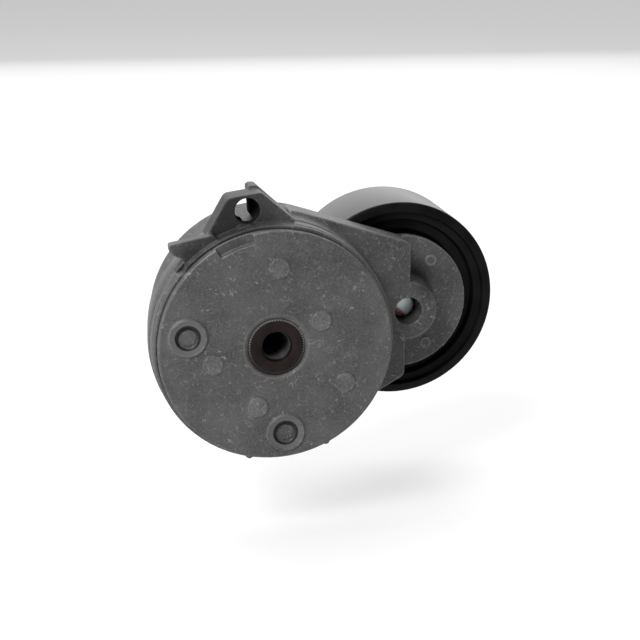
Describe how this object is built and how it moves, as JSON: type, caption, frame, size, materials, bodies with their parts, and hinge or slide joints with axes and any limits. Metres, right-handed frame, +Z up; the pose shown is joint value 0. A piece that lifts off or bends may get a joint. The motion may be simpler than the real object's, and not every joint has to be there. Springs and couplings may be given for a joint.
{
  "type": "belt tensioner idler",
  "caption": "Spring-loaded belt tensioner: die-cast base with eared lug and locating tab, swinging arm on a central pivot, smooth black idler pulley on a ball bearing.",
  "frame": {"origin": "pivot axis at the plane of the mounting face, at the mouth of the pivot shaft's thread", "axes": "the pivot axis is Y and the mounting face looks along -Y; +X points from the pivot to the pulley; +Z is up"},
  "size_m": [0.1436, 0.0725, 0.105],
  "materials": {
    "cast_disc": "dark die casting, machined fine matt mounting face",
    "cast_ring": "dark die casting, tumbled",
    "cast_arm": "dark die casting, tumbled",
    "shaft_steel": "dark phosphated steel",
    "plated_steel": "zinc-plated sheet",
    "zinc_steel": "zinc-plated, dried threadlocker on the end",
    "spring_steel": "oiled spring wire",
    "bearing_steel": "ground bearing steel",
    "bushing_bronze": "sintered bronze",
    "polymer_pale": "natural polyamide",
    "polymer_dark": "filled polyamide",
    "cage_polymer": "glass-filled polyamide",
    "pulley_black": "black glass-filled polymer, smooth running surface",
    "seal_rubber": "moulded seal"
  },
  "bodies": {
    "base": {"mount_disc": "cast_disc", "base_ring": "cast_ring", "pivot_shaft": "shaft_steel", "front_thrust_washer": "polymer_pale", "spring_seat": "polymer_pale", "torsion_spring": "spring_steel", "damping_sleeve": "polymer_dark", "rear_thrust_washer": "polymer_pale", "retaining_plate": "plated_steel"},
    "arm": {"tensioner_arm": "cast_arm", "pivot_bushing_front": "bushing_bronze", "pivot_bushing_rear": "bushing_bronze", "dust_shield_front": "plated_steel", "bearing_inner_ring": "bearing_steel", "bearing_sleeve": "shaft_steel", "dust_shield_rear": "plated_steel", "pulley_bolt": "zinc_steel"},
    "pulley": {"pulley_shell": "pulley_black", "bearing_outer_ring": "bearing_steel", "bearing_seal_front": "seal_rubber", "bearing_seal_rear": "seal_rubber", "snap_ring": "spring_steel"},
    "ball_set": {"bearing_balls": "bearing_steel", "bearing_cage": "cage_polymer"}
  },
  "joints": [
    {"name": "arm_swing", "type": "hinge", "parent": "base", "child": "arm", "pos_m": [0, 0.02, 0], "axis": [0, 1, 0], "range_deg": [0, 45], "stiffness_Nm_per_rad": 35, "springref_deg": -28.65, "deforming": ["torsion_spring"]},
    {"name": "pulley_spin", "type": "hinge", "parent": "arm", "child": "pulley", "pos_m": [0.057, 0.0555, 0.0042], "axis": [0, 1, 0], "continuous": true},
    {"name": "ball_set_spin", "type": "hinge", "parent": "arm", "child": "ball_set", "pos_m": [0.057, 0.0555, 0.0042], "axis": [0, 1, 0], "continuous": true}
  ],
  "couplings": [
    {"joint": "ball_set_spin", "follows": "pulley_spin", "ratio": 0.6353}
  ]
}
